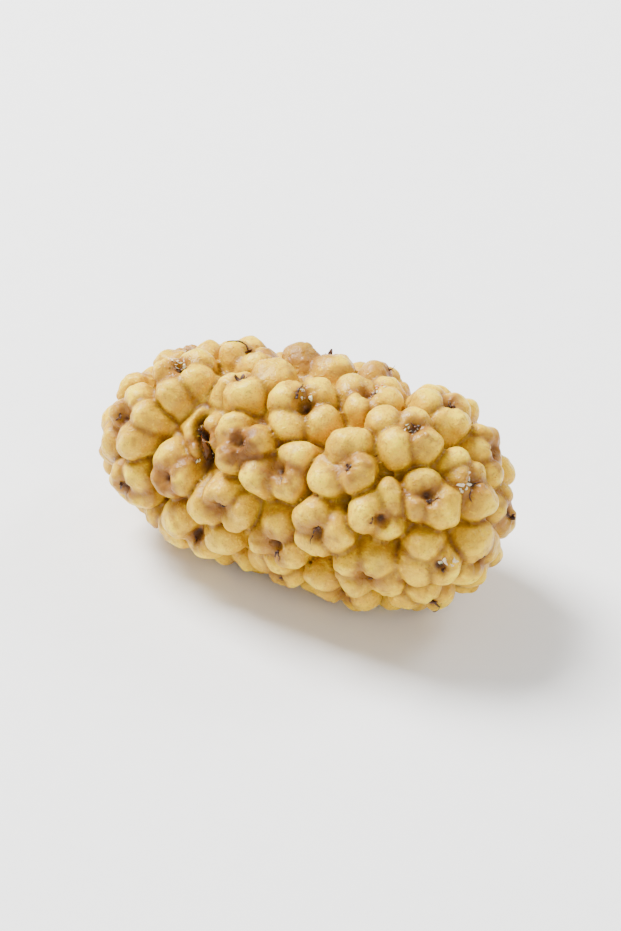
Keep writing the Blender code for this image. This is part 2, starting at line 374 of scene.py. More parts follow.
def crowd(points, pit, reach):
    """Lets the lobes push each other aside over the skin, while each stays by its own pit."""
    stalk_end = np.array([-HALF_LENGTH, 0.0, 0.0])
    for _ in range(CROWDING_ROUNDS):
        push = pushed(points, points, CROWDING * (reach[:, None] + reach[None, :]))
        away = points - pit
        length = np.linalg.norm(away, axis=1, keepdims=True) + TINY
        pull = PULL * away / length * (LOBE_FROM_PIT - length)
        from_stalk = points - stalk_end
        room = np.linalg.norm(from_stalk, axis=1, keepdims=True)
        clear = from_stalk / room * np.clip(STALK_ROOM + reach[:, None] - room, 0.0, None)
        points, out = skin_of(points + push + pull + clear)
    return points, out


def start_lobes(rng):
    """Where each lobe starts, the fruitlet it belongs to, and its size."""
    start, owner, size = [], [], []
    for number, pit in enumerate(PITS):
        if number < len(UPPER_FRUITLETS):
            count, bearing = UPPER_FRUITLETS[number][2], math.radians(UPPER_FRUITLETS[number][3])
        else:
            count = 4 if rng.random() < FOUR_LOBES_CHANCE else 3
            bearing = rng.uniform(0, math.tau)
        side = Vector((0.0, pit[1], pit[2])).normalized().cross(Vector((1, 0, 0)))
        for lobe in range(count):
            angle = bearing + math.tau * lobe / count
            shift = math.cos(angle) * Vector((1, 0, 0)) + math.sin(angle) * side
            start.append(pit + np.array(shift) * LOBE_FROM_PIT)
            owner.append(number)
            kind = 1.0 if lobe % 2 == 0 else SMALL_LOBE
            size.append(kind * (1 + rng.uniform(-SIZE_SPREAD, SIZE_SPREAD)))
    return np.array(start), np.array(owner), np.array(size)


rng = random.Random(SEED)
start, OWNER, size = start_lobes(rng)
reach = size * (LOBE_AWAY + LOBE_ACROSS) / 2
SKIN, OUT = crowd(start, PITS[OWNER], reach)
gaps = np.linalg.norm(SKIN[:, None, :] - SKIN[None, :, :], axis=2)
near = np.sort(gaps, axis=1)[:, 1 : NEIGHBOURS + 1].mean(axis=1)
size = size * np.clip(near / (2 * CROWDING * reach), *SWELL_LIMITS)
print(f"{len(SKIN)} lobes, {near.mean() / MM:.2f} mm between neighbours")

# %% [markdown]
# ## Where the fruit has sunk
#
# A drying fruit shrinks unevenly, so the upper side has shallow hollows about 6 mm apart. On the
# upper side a few fruitlets also dried out and sank into a short gash across the fruit. It is
# stated as a soft spot on the skin: lobes near it sink, and later the skin is cut in and browned,
# and its depth is painted near black as painted shade.

# %% Hollows and the fold
SAG_DEPTH = 0.0006
SAG_SPACING = 0.0062
SAG_START = 0.0009
SAG_TWIST = 1.2
FOLD_ALONG = -0.0034
FOLD_TURN = math.radians(52)
FOLD_HALF_LENGTH = 0.0021
FOLD_HALF_WIDTH = 0.0011
FOLD_DEPTH = 0.00085


def fold_places(points):
    """How far along the fruit and round it each straight point lies from the fold's middle."""
    turned = np.arctan2(-points[:, 1], points[:, 2]) - FOLD_TURN
    return points[:, 0] - FOLD_ALONG, turned * HALF_WIDTH


lobe_along, lobe_round = fold_places(SKIN)
fold_share = np.exp(-((lobe_along / FOLD_HALF_WIDTH) ** 2) - (lobe_round / FOLD_HALF_LENGTH) ** 2)
turned = np.arctan2(-SKIN[:, 1], SKIN[:, 2])
wave = np.sin(math.tau * (SKIN[:, 0] - SAG_START) / SAG_SPACING + SAG_TWIST * turned)
sag = SAG_DEPTH * (0.5 + 0.5 * np.cos(turned)) * (0.5 + 0.5 * wave) ** 2

# %% Each lobe as a tilted ball
TURNS, HALVES, PLACES = [], [], []
for number, centre in enumerate(SKIN):
    outward = Vector(OUT[number])
    away = Vector(centre - PITS[OWNER[number]])
    away = (away - away.dot(outward) * outward).normalized()
    lean = Matrix.Rotation(LOBE_LEAN, 3, outward.cross(away))
    outward, away = lean @ outward, lean @ away
    half = Vector((LOBE_AWAY, LOBE_ACROSS, LOBE_OUT)) * size[number]
    sunk = half.z + rng.uniform(0, LOBE_RISE) + fold_share[number] * FOLD_DEPTH + sag[number]
    TURNS.append([away, outward.cross(away), outward])
    HALVES.append(half)
    PLACES.append(centre - np.array(outward) * sunk)
TURNS = np.array(TURNS).transpose(0, 2, 1)
HALVES = np.array(HALVES)
PLACES = lie_down(np.array(PLACES))
print(f"lobes {2 * HALVES.min() / MM:.1f} to {2 * HALVES.max() / MM:.1f} mm across")

# %% [markdown]
# ## Flesh as a formula
#
# Balls that only cross look like a bunch of grapes. Real lobes are grown together: inside a
# fruitlet they run softly into each other, and between fruitlets there is a sharp crease. A
# signed distance says this. Each point asks how far it is from every ball, a soft minimum joins
# the lobes of a fruitlet, and a sharper one joins the fruitlets and the core. Where two lobes are
# equally near, a crease is drawn in, shallow inside a fruitlet and deep between two. Dents such as
# pits and wrinkles are simply added to the distance.

# %% Seeded noise
NOISE_CELLS = 32
SEED_SHIFT = 7.3  # how many cells one seed's noise lies off the next


def noise(points, cell, seed):
    """Smooth noise from -1 to 1, with bumps of about one cell."""
    grid = np.random.default_rng(seed).uniform(-1, 1, (NOISE_CELLS,) * 3).astype(np.float32)
    place = points / cell + SEED_SHIFT * seed
    low = np.floor(place).astype(int)
    part = place - low
    part = part * part * (3 - 2 * part)
    total = np.zeros(len(points))
    for corner in np.ndindex(2, 2, 2):
        pick = (low + corner) % NOISE_CELLS
        weight = np.prod(np.where(np.array(corner) == 1, part, 1 - part), axis=1)
        total += weight * grid[pick[:, 0], pick[:, 1], pick[:, 2]]
    return total


# %% The soft union
CORE_SUNK = 0.00125  # the core fills the creases up to here
CREASE_DEPTH, CREASE_WIDTH = 0.00024, 0.00014
SHALLOW_CREASE = 0.45  # inside a fruitlet the creases are this much as deep
BLEND_IN_FRUITLET = 0.00009
BLEND_BETWEEN = 0.000045
WARP_WIDE, WARP_WIDE_CELL = 0.00015, 1.2 * MM
WARP_FINE, WARP_FINE_CELL = 0.00005, 0.45 * MM
CHUNK = 20000
NEAR_BALLS = 12
DISTANCE, WAY, CROWN, TONE = slice(0, 1), slice(1, 4), 4, 5  # the columns that flesh() gives
LOBE_GAP, BOTH_GAPS = slice(6, 7), slice(6, 8)

core_half = np.array([HALF_LENGTH, HALF_WIDTH, HALF_WIDTH * FLATTENING]) - CORE_SUNK
BALL_PLACES = np.vstack([lie_down(np.zeros((1, 3))), PLACES])
BALL_TURNS = np.concatenate([np.eye(3)[None], TURNS])
BALL_HALVES = np.vstack([core_half, HALVES])
BALL_OWNERS = np.concatenate([[-1], OWNER])
TONES = np.concatenate([[0.0], np.random.default_rng(SEED).uniform(-1, 1, len(PLACES))])


def warped(points):
    """Points pushed about a little, so that no lobe is a perfect ball."""
    wide = [noise(points, WARP_WIDE_CELL, seed) for seed in (1, 2, 3)]
    fine = [noise(points, WARP_FINE_CELL, seed) for seed in (4, 5, 6)]
    return points + WARP_WIDE * np.stack(wide, axis=1) + WARP_FINE * np.stack(fine, axis=1)


def near_balls(points):
    """The core and the nearest lobes to each point."""
    off = (points**2).sum(axis=1)[:, None] + (PLACES**2).sum(axis=1) - 2 * points @ PLACES.T
    nearest = np.argpartition(off, NEAR_BALLS, axis=1)[:, :NEAR_BALLS] + 1
    return np.column_stack([np.zeros(len(points), dtype=int), nearest])


def flesh_at(here):
    """The columns of flesh() for a few thousand warped points."""
    balls = near_balls(here)
    turns = BALL_TURNS[balls]
    part = here[:, None, :] - BALL_PLACES[balls]
    scaled = np.einsum("pbk,pbkj->pbj", part, turns) / BALL_HALVES[balls]
    steep = scaled / BALL_HALVES[balls]
    reach = np.linalg.norm(scaled, axis=2)
    rise = np.linalg.norm(steep, axis=2) + TINY
    away = reach * (reach - 1) / rise
    closest = away.min(axis=1, keepdims=True)
    pull = np.exp(-(away - closest) / BLEND_IN_FRUITLET)
    owners = BALL_OWNERS[balls]
    same = owners[:, :, None] == owners[:, None, :]
    joined = (same * pull[:, None, :]).sum(axis=2) + 1e-30
    fruitlet = closest - BLEND_IN_FRUITLET * np.log(joined)
    nearest = fruitlet.min(axis=1, keepdims=True)
    weight = np.exp(-(fruitlet - nearest) / BLEND_BETWEEN) * pull / joined
    total = weight.sum(axis=1)
    out = nearest[:, 0] - BLEND_BETWEEN * np.log(total)
    weight /= total[:, None]
    way = np.einsum("pbj,pbkj->pbk", steep / rise[:, :, None], turns)
    way = (way * weight[:, :, None]).sum(axis=1)
    way /= np.linalg.norm(way, axis=1, keepdims=True)
    # How high on its lobe each point lies; the material paints light and shade by it.
    crown_painted_light = (weight * scaled[:, :, 2]).sum(axis=1)
    tone = (weight * TONES[balls]).sum(axis=1)
    lobes = np.sort(away[:, 1:], axis=1)
    lobe_gap = lobes[:, 1] - lobes[:, 0]
    own = owners[np.arange(len(here)), fruitlet[:, 1:].argmin(axis=1) + 1]
    other = np.where(owners == own[:, None], 1.0, fruitlet)[:, 1:].min(axis=1)
    fruitlet_gap = other - fruitlet[:, 1:].min(axis=1)
    crease = SHALLOW_CREASE * np.exp(-lobe_gap / CREASE_WIDTH)
    crease = np.maximum(crease, np.exp(-np.maximum(fruitlet_gap, 0) / CREASE_WIDTH))
    return np.column_stack([out + CREASE_DEPTH * crease, way, crown_painted_light, tone, lobe_gap, fruitlet_gap])


def flesh(points):
    """For each point: distance out of the flesh, way out, crown, tone, and the two crease gaps."""
    moved = warped(points)
    starts = range(0, len(points), CHUNK)
    return np.vstack([flesh_at(moved[start : start + CHUNK]) for start in starts])


# %% [markdown]
# ## Dents
#
# Drying shrinks the flesh but not the skin, so the skin falls into dents. There are four kinds:
# the pit of each fruitlet with small puckers round it, wide shallow hollows, fine wrinkles, and
# a few lobes that collapsed. The gash of the dried fold is cut as one narrow wandering groove.

# %% Dents in the skin
PIT_DEPTH, PIT_REACH = 0.00042, 0.00030
PIT_RAGGED, PIT_RAGGED_CELL = 0.35, 0.35 * MM
PUCKER_DEPTH, PUCKER_REACH, PUCKER_FOLDS = 0.00011, 0.00095, 8
PUCKER_WANDER_CELL = 0.4 * MM
HOLLOW_DEPTH, HOLLOW_CELL = 0.00018, 1.0 * MM
WRINKLE_DEPTH, WRINKLE_CELL = 0.00012, 0.42 * MM
WRINKLED_AT_LEAST, WRINKLED_CELL = 0.40, 1.6 * MM
COLLAPSED_SHARE = 0.18
COLLAPSE_DEPTH, COLLAPSE_REACH = 0.00032, 0.00055
GASH_DEPTH, GASH_HALF_WIDTH, GASH_HALF_LENGTH = 0.00085, 0.00030, 0.0019
GASH_WANDER, GASH_BEND, GASH_LEAN = 0.00025, 0.55 * MM, 0.25
COLLAPSE_SCATTER = 0.25 * MM

PIT_FEET, PIT_WAYS = skin_of(PITS)
chance = np.random.default_rng(SEED + 1)
collapsed = np.flatnonzero(chance.random(len(SKIN)) < COLLAPSED_SHARE)
COLLAPSE_SPOTS = SKIN[collapsed] + chance.normal(0, COLLAPSE_SCATTER, (len(collapsed), 3))
PIT_TURNS = chance.uniform(0, math.tau, len(PITS))


def nearest_spot(points, spots):
    """The nearest of the spots to each point, and how far off it is."""
    apart = np.stack([np.linalg.norm(points - spot, axis=1) for spot in spots])
    return apart.argmin(axis=0), apart.min(axis=0)


def from_pits(points):
    """The nearest pit to each point, how far off its axis the point lies, and at what bearing."""
    straight = stand_up(points)
    pick, _far = nearest_spot(straight, PIT_FEET)
    outward = PIT_WAYS[pick]
    flat = straight - PIT_FEET[pick]
    flat -= (flat * outward).sum(axis=1, keepdims=True) * outward
    side = np.cross(outward, [1.0, 0.0, 0.0])
    side /= np.linalg.norm(side, axis=1, keepdims=True) + TINY
    ahead = np.cross(side, outward)
    bearing = np.arctan2((flat * side).sum(axis=1), (flat * ahead).sum(axis=1))
    return pick, np.linalg.norm(flat, axis=1), bearing


def gash_share(points):
    """How deep in the gash each point lies, from 0 outside it to 1 on its line."""
    along, round_it = fold_places(stand_up(points))
    wander = GASH_WANDER * np.sin(round_it / GASH_BEND) + GASH_LEAN * round_it
    across = (along - wander) / GASH_HALF_WIDTH
    return np.exp(-(across**2) - (round_it / GASH_HALF_LENGTH) ** 4)


def dents(points):
    """How far drying has drawn the skin in at each point."""
    pick, far, bearing = from_pits(points)
    ragged = far * (1 + PIT_RAGGED * noise(points, PIT_RAGGED_CELL, 7))
    dimple = PIT_DEPTH * np.exp(-((ragged / PIT_REACH) ** 2))
    wander = PIT_TURNS[pick] + 2 * noise(points, PUCKER_WANDER_CELL, 8)
    pleats = 0.5 + 0.5 * np.sin(PUCKER_FOLDS * bearing + wander)
    near_pit = np.exp(-((far / PUCKER_REACH) ** 2)) * np.clip(far / PIT_REACH, 0, 1)
    pucker = PUCKER_DEPTH * pleats * near_pit
    hollow = HOLLOW_DEPTH * np.clip(noise(points, HOLLOW_CELL, 9), 0, 1)
    groove = (1 - np.abs(noise(points, WRINKLE_CELL, 10))) ** 4
    patch = np.clip(WRINKLED_AT_LEAST + noise(points, WRINKLED_CELL, 11), 0, 1)
    wrinkle = WRINKLE_DEPTH * groove * patch
    _lobe, off = nearest_spot(stand_up(points), COLLAPSE_SPOTS)
    collapse = COLLAPSE_DEPTH * np.exp(-((off / COLLAPSE_REACH) ** 2))
    gash = GASH_DEPTH * gash_share(points)
    return dimple + pucker + hollow + wrinkle + collapse + gash


# %% [markdown]
# ## From formula to mesh
#
# The formula needs a mesh to act on. The balls and the core are remeshed into one even closed
# skin and smoothed. Each point then walks in or out to where the formula is zero, in a few short
# strides, and eases towards its neighbours after each, so that the mesh stays even in the creases.
# Close to the solid's box the skin is eased inwards, and underneath it is pressed flat.

# %% A rough even skin
VOXEL = 0.112 * MM
BALL_SUBDIVISIONS = 3
SOFTENINGS = 4

shape = bmesh.new()
for place, turned, half in zip(BALL_PLACES, BALL_TURNS, BALL_HALVES):
    grown = Matrix.LocRotScale(Vector(place), Matrix(turned).to_quaternion(), Vector(half))
    bmesh.ops.create_icosphere(shape, subdivisions=BALL_SUBDIVISIONS, radius=1.0, matrix=grown)
rough = in_scene("rough", mesh_of(shape, "rough"))
even = rough.modifiers.new("even skin", "REMESH")
even.mode = "VOXEL"
even.voxel_size = VOXEL
soften = rough.modifiers.new("lose the steps", "SMOOTH")
soften.factor = 0.5
soften.iterations = SOFTENINGS
graph = bpy.context.evaluated_depsgraph_get()
skin_mesh = bpy.data.meshes.new_from_object(rough.evaluated_get(graph))
bpy.data.objects.remove(rough, do_unlink=True)
skin_mesh.name = "skin"
print(f"rough skin: {len(skin_mesh.vertices)} points")

# %% Walk to the true skin
STRIDES, STRIDE = 6, 0.8  # each stride goes this share of the way
EASE = 0.35
CREASE_EASES, CREASE_REACH = 5, 0.16 * MM  # the creases are eased a few times more
MARGIN = 0.02 * MM  # the skin stays this far inside the solid's box
SOFT = 0.3 * MM  # it is eased inwards from this far before that


def mesh_points(mesh, name="co"):
    """The places of the mesh's points, or the ways out of the skin at them, as an array."""
    flat = np.empty(len(mesh.vertices) * 3, dtype=np.float32)
    mesh.vertices.foreach_get(name, flat)
    return flat.reshape(-1, 3).astype(np.float64)


def move_points(mesh, points):
    """Moves the mesh's points to new places."""
    mesh.vertices.foreach_set("co", points.astype(np.float32).ravel())
    mesh.update()


def both_ways(mesh):
    """Every edge of the mesh as a pair of points, in both directions."""
    ends = np.empty(len(mesh.edges) * 2, dtype=np.int32)
    mesh.edges.foreach_get("vertices", ends)
    ends = ends.reshape(-1, 2)
    return np.concatenate([ends, ends[:, ::-1]])


def eased(values, pairs):
    """Values of each point, moved part of the way to the mean of those across its edges."""
    count = np.bincount(pairs[:, 0], minlength=len(values))
    sums = [np.bincount(pairs[:, 0], column[pairs[:, 1]], len(values)) for column in values.T]
    return values + EASE * (np.stack(sums, axis=1) / count[:, None] - values)


pairs = both_ways(skin_mesh)
points = mesh_points(skin_mesh)
for _ in range(STRIDES):
    move_points(skin_mesh, points)
    way_out = mesh_points(skin_mesh, "normal")
    points -= (flesh(points)[:, DISTANCE] + dents(points)[:, None]) * way_out * STRIDE
    points = eased(points, pairs)
crease = np.exp(-flesh(points)[:, LOBE_GAP] / CREASE_REACH)
for _ in range(CREASE_EASES):
    points += crease * (eased(points, pairs) - points)
low = np.array(FRUIT_BOX[0]) + MARGIN
high = np.array(FRUIT_BOX[1]) - MARGIN
over = np.maximum(points - (high - SOFT), 0)
under = np.maximum((low + SOFT) - points, 0) * [1, 1, 0]
points += SOFT * (1 - np.exp(-over / SOFT)) - over
points += under - SOFT * (1 - np.exp(-under / SOFT))
points[:, 2] = np.maximum(points[:, 2], 0.0)
print(f"the box eased the skin in by {max(over.max(), under.max()) / MM:.2f} mm at most")
move_points(skin_mesh, points)

# %% Drop loose inner shells
shape = bmesh.new()
shape.from_mesh(skin_mesh)
left, shells = set(shape.verts), []
while left:
    shell, border = set(), {left.pop()}
    while border:
        shell |= border
        border = {end for spot in border for edge in spot.link_edges for end in edge.verts} - shell
    left -= shell
    shells.append(shell)
shells.sort(key=len)
for shell in shells[:-1]:
    bmesh.ops.delete(shape, geom=list(shell), context="VERTS")
shape.to_mesh(skin_mesh)
shape.free()
print(f"{len(shells) - 1} inner shells dropped")

# %% [markdown]
# ## What the skin tells the material
#
# Here colour follows form. The crown of a lobe is painted pale, as painted light, and its sides
# honey, as painted shade, and a crease is painted amber, as painted shade. The skin round a pit is
# stained pinkish brown, and the fold and a few patches have browned. The middles of the pits and of
# the gash are painted near black: partly brown dried tissue, partly painted shade of the hole.
# Round some pits sugar has come out, so the skin there is sticky and glints. These facts are stored
# on the mesh as attributes that the material reads.

# %% Facts stored on the skin
STICKY_PITS = (1, 4, 8, 11, 15, 18, 19)  # places in the list of pits
BROWN_PATCHES = (  # along in mm, turn in degrees, reach in mm, strength
    (-1.3, 48, 1.0, 0.95),
    (-3.4, 60, 1.5, 0.75),
    (-4.9, 88, 1.5, 0.60),
    (-1.5, -28, 2.2, 0.65),
    (1.5, -34, 1.8, 0.50),
    (-7.6, 66, 1.6, 0.30),
    (6.8, 84, 1.3, 0.40),
    (7.6, 58, 0.9, 0.45),
    (-6.4, 18, 0.8, 0.40),
)


def raggedness(points, wide, fine, seed):
    """A factor near 1 that makes the edge of a round patch ragged, by noise of two widths."""
    return 1 + 0.45 * noise(points, wide, seed) + 0.35 * noise(points, fine, seed + 1)


def patch_share(points):
    """How brown each point is from the stated patches, with ragged edges."""
    straight = stand_up(points)
    total = np.zeros(len(points))
    torn = raggedness(points, 0.7 * MM, 0.3 * MM, 21)
    for along, turned, reach, strength in BROWN_PATCHES:
        off = np.linalg.norm(straight - on_spindle(along, turned), axis=1) / (reach * MM)
        total = np.maximum(total, strength * np.exp(-((off * torn) ** 4)))
    return total


def store(mesh, name, values):
    """Stores one number for each point of the mesh."""
    mesh.attributes.new(name, "FLOAT", "POINT").data.foreach_set("value", values.astype(np.float32))


STAIN_REACH, PIT_SHADE_REACH, STICKY_REACH = 0.70 * MM, 0.24 * MM, 0.75 * MM
CREASE_SHADE_REACH = 0.12 * MM
STAIN_SIZES = (0.65, 1.45)

points = mesh_points(skin_mesh)
found = flesh(points)
pick, far, _bearing = from_pits(points)
stain_size = np.random.default_rng(SEED + 3).uniform(*STAIN_SIZES, len(PITS))[pick]
far = far * raggedness(points, 0.5 * MM, 0.22 * MM, 23)
# Painted shade: the material paints the creases amber by these two numbers.
crease_shades = np.exp(-found[:, BOTH_GAPS] / CREASE_SHADE_REACH)
pairs = both_ways(skin_mesh)
for _ in range(CREASE_EASES):
    crease_shades = eased(crease_shades, pairs)
facts = {
    "crown_painted_light": np.clip(found[:, CROWN], 0, 1),
    "tone": found[:, TONE],
    "lobe_crease_shade": crease_shades[:, 0],
    "fruitlet_crease_shade": crease_shades[:, 1],
    "stain": np.exp(-((far / (STAIN_REACH * stain_size)) ** 2)),
    "pit": np.exp(-((far / PIT_SHADE_REACH) ** 2)),
    "sticky": np.isin(pick, STICKY_PITS) * np.exp(-((far / STICKY_REACH) ** 4)),
    "browning": patch_share(points),
    "gash": gash_share(points),
}
for name, values in facts.items():
    store(skin_mesh, name, values)

# %% [markdown]
# ## Dried fruit flesh
#
# Dried mulberry flesh is a stiff sugary gel under a thin papery skin. Light goes about half a
# millimetre into it and comes out warmer, which subsurface scattering gives. The refractive index
# of sugary flesh is about 1.45, but its finest wrinkles shade their own reflections, so the
# specular level is low. Roughness wanders between 0.30 and 0.48 and falls to 0.20 where sugar has
# made the skin sticky. Wrinkles finer than the mesh are a bump: skin folds about 0.22 mm apart and
# a grain of about 0.07 mm. The albedos are deep, because the bright light washes them out.

# %% Flesh material
PALE_LIT_AND_MOTTLE, CREAM_LIT_FLANK, HONEY_SHADE_AND_MOTTLE, AMBER_CREASE_SHADE = "#FDDC28", "#F2C818", "#CA9A12", "#703E06"
TAN, PINKISH, BROWN, DARK_TISSUE_AND_HOLE_SHADE = "#BE9022", "#925E2A", "#583012", "#241008"
FOLD_WIDTH, GRAIN_WIDTH = 0.22 * MM, 0.07 * MM
MOTTLE_WIDTH, SPECKLE_WIDTH, FLECK_WIDTH = 0.9 * MM, 0.25 * MM, 0.11 * MM

flesh_material, tree, output = new_material("dried mulberry flesh")
place = add_node(tree, "TexCoord", {}).outputs["Object"]
fact = {
    name: add_node(tree, "Attribute", {}, attribute_name=name).outputs["Fac"]
    for name in facts
}
mottle, speckle, fleck, grain = (
    add_node(tree, "TexNoise", {"Vector": place, "Scale": 1 / width, "Detail": 4.0}).outputs["Fac"]
    for width in (MOTTLE_WIDTH, SPECKLE_WIDTH, FLECK_WIDTH, GRAIN_WIDTH)
)
folds = add_node(
    tree,
    "TexNoise",
    {"Vector": place, "Scale": 1 / FOLD_WIDTH, "Detail": 2.0, "Distortion": 0.6},
    noise_type="RIDGED_MULTIFRACTAL",
).outputs["Fac"]

colour = layered(
    tree,
    linear(PALE_LIT_AND_MOTTLE),
    (
        # Painted light and shade on every lobe: pale on its crown as if lit, cream on its flanks
        # and honey down its sides as if shaded.
        (fact["crown_painted_light"], 0.99, 0.84, 1.0, CREAM_LIT_FLANK),
        (fact["crown_painted_light"], 0.92, 0.55, 1.0, HONEY_SHADE_AND_MOTTLE),
        (fact["tone"], 0.20, 1.00, 0.45, HONEY_SHADE_AND_MOTTLE),
        (fact["tone"], -0.30, -1.00, 0.50, TAN),
        (mottle, 0.52, 0.75, 0.50, PALE_LIT_AND_MOTTLE),
        (mottle, 0.48, 0.25, 0.50, HONEY_SHADE_AND_MOTTLE),
        (speckle, 0.54, 0.68, 0.65, TAN),
        (speckle, 0.40, 0.28, 0.60, PALE_LIT_AND_MOTTLE),
        (fleck, 0.58, 0.72, 0.55, PINKISH),
        (fleck, 0.40, 0.28, 0.50, PALE_LIT_AND_MOTTLE),
        # Painted shade in the creases between lobes and between fruitlets.
        (fact["lobe_crease_shade"], 0.15, 0.60, 0.70, AMBER_CREASE_SHADE),
        (fact["fruitlet_crease_shade"], 0.12, 0.60, 0.85, AMBER_CREASE_SHADE),
        (fact["stain"], 0.15, 0.80, 0.75, PINKISH),
        (fact["browning"], 0.05, 0.60, 0.70, PINKISH),
        (fact["browning"], 0.50, 1.00, 0.65, BROWN),
        # The pit and the gash: a brown rim of dried tissue, and a near-black middle that is partly
        # brown tissue and partly painted shade of the hole.
        (fact["pit"], 0.15, 0.75, 0.85, BROWN),
        (fact["pit"], 0.70, 1.00, 0.80, DARK_TISSUE_AND_HOLE_SHADE),
        (fact["gash"], 0.10, 0.55, 0.85, BROWN),
        (fact["gash"], 0.50, 0.95, 0.90, DARK_TISSUE_AND_HOLE_SHADE),
    ),
)
rough = add_node(
    tree,
    "MapRange",
    {"Value": speckle, "From Min": 0.35, "From Max": 0.70, "To Min": 0.30, "To Max": 0.48},
).outputs["Result"]
rough = add_node(
    tree, "Mix", {"Factor": fact["sticky"], 2: rough, 3: 0.20}, data_type="FLOAT"
).outputs["Result"]
relief = add_node(tree, "Bump", {"Strength": 0.9, "Distance": 0.05 * MM, "Height": folds})
relief = add_node(
    tree,
    "Bump",
    {"Strength": 0.8, "Distance": 0.020 * MM, "Height": grain, "Normal": relief.outputs["Normal"]},
)
shader = add_node(
    tree,
    "BsdfPrincipled",
    {
        "Base Color": colour,
        "Roughness": rough,
        "Metallic": 0.0,
        "IOR": 1.45,
        "Specular IOR Level": 0.25,
        "Subsurface Weight": 0.35,
        "Subsurface Radius": (1.0, 0.50, 0.15),
        "Subsurface Scale": 0.5 * MM,
        "Normal": relief.outputs["Normal"],
    },
)
tree.links.new(shader.outputs["BSDF"], output.inputs["Surface"])

# %% The skin as a piece
def add_piece(name, mesh, material):
    """Turns a mesh into a smooth-shaded piece that rides on the body."""
    mesh.polygons.foreach_set("use_smooth", [True] * len(mesh.polygons))
    mesh.materials.append(material)
    piece = in_scene(name, mesh)
    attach(piece, "root")
    print(f"{name}: {sum(len(face.vertices) - 2 for face in mesh.polygons)} triangles")
    return piece


skin = add_piece("mulberry_skin", skin_mesh, flesh_material)
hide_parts("fruit")

# %% [markdown]
# ## Dried styles
#
# Each fruitlet's flower had a forked style. It dries to a few dark crumpled scraps in the pit,
# and here and there an arm is left that lies over the lobes. An arm is a thin tapered tube along
# a wandering line that hugs the skin. A scrap is a flattened ball, torn by noise and bent.
# Nothing may hang in the air, so each scrap and each arm's root is set down on the finished mesh.

# %% Walk spots onto the finished skin
STEP = 0.7  # each round goes this share of the way
PIT_WALK, ARM_WALK, SHORT_WALK = 10, 3, 4  # how many rounds


def onto_skin(spots, rounds):
    """Spots walked onto the finished skin, and the ways out of it there."""
    spots = np.array(spots)
    for _ in range(rounds):
        met = flesh(spots)
        spots = spots - (met[:, DISTANCE] + dents(spots)[:, None]) * met[:, WAY] * STEP
    return [Vector(spot) for spot in spots], [Vector(way) for way in flesh(spots)[:, WAY]]


PIT_FLOORS, _ways = onto_skin(lie_down(PIT_FEET), PIT_WALK)

# %% Height above the finished skin
SKIN_TREE = BVHTree.FromPolygons(
    [point.co for point in skin_mesh.vertices], [face.vertices for face in skin_mesh.polygons]
)


def above_skin(spot):
    """How far a spot lies above the finished skin, and the way out of the skin there."""
    foot, way, _face, _far = SKIN_TREE.find_nearest(spot)
    return (spot - foot).dot(way), way


# %% Shapes that the small pieces are made of
BOX_LOW = np.array(CAD_BOX[0]) + MARGIN
BOX_HIGH = np.array(CAD_BOX[1]) - MARGIN
BITE = 0.015 * MM  # how deep a scrap sits in the skin, at least
DROPS = 4  # a scrap is set down in a few steps, because a pit's walls are steep
TORN, TORN_CELL = 0.8, 0.8  # how ragged a scrap's edge is, as a share of its size


def in_box(spots, inside=0.0):
    """Spots, moved so that they lie in the solid's box, at least this far inside it."""
    return [Vector(spot) for spot in np.clip(np.array(spots), BOX_LOW + inside, BOX_HIGH - inside)]


def add_tube(shape, line, radii, sides, roughen=None):
    """A closed tube through the points of a line, with a radius at each."""
    rings = []
    ahead = (line[1] - line[0]).normalized()
    side = ahead.orthogonal().normalized()
    for number, (spot, radius) in enumerate(zip(line, radii)):
        before = line[max(number - 1, 0)]
        after = line[min(number + 1, len(line) - 1)]
        ahead = (after - before).normalized()
        side = (side - side.dot(ahead) * ahead).normalized()
        up = ahead.cross(side)
        ring = []
        for step in range(sides):
            angle = math.tau * step / sides
            wide = radius * (roughen(number, angle) if roughen else 1.0)
            aside = math.cos(angle) * side + math.sin(angle) * up
            ring.append(shape.verts.new(spot + aside * wide))
        rings.append(ring)
    for lower, upper in zip(rings, rings[1:]):
        for step in range(sides):
            after = (step + 1) % sides
            shape.faces.new((lower[step], lower[after], upper[after], upper[step]))
    shape.faces.new(reversed(rings[0]))
    shape.faces.new(rings[-1])


def add_scrap(shape, middle, outward, axes, half, curl, seed):
    """A crumpled flake on the skin: a flattened ball with a torn edge, bent along its length."""
    made = bmesh.ops.create_icosphere(shape, subdivisions=2, radius=1.0)
    ball = np.array([corner.co for corner in made["verts"]])
    torn = 1 + TORN * noise(ball + 11.0 * seed, TORN_CELL, 31)
    flake = ball * torn[:, None] * half
    flake[:, 2] += curl * flake[:, 0] ** 2 / half[0]
    spots = [middle + axes @ Vector(spot) for spot in flake]
    for _ in range(DROPS):
        drop = max(0.0, min(above_skin(spot)[0] for spot in spots) + BITE)
        spots = [spot - drop * outward for spot in spots]
    for corner, spot in zip(made["verts"], in_box(spots)):
        corner.co = spot


# %% [markdown]
# Style tissue dries to something like tobacco: dark brown, stiff and fibrous, with paler tan
# where an edge is worn thin. It has a faint sheen, so its roughness is about 0.45. Styles, papery
# scraps and stalk are all dry tissue whose fibres show as streaks and as fine relief. So one
# function makes their three materials, each with its own widths and colours.

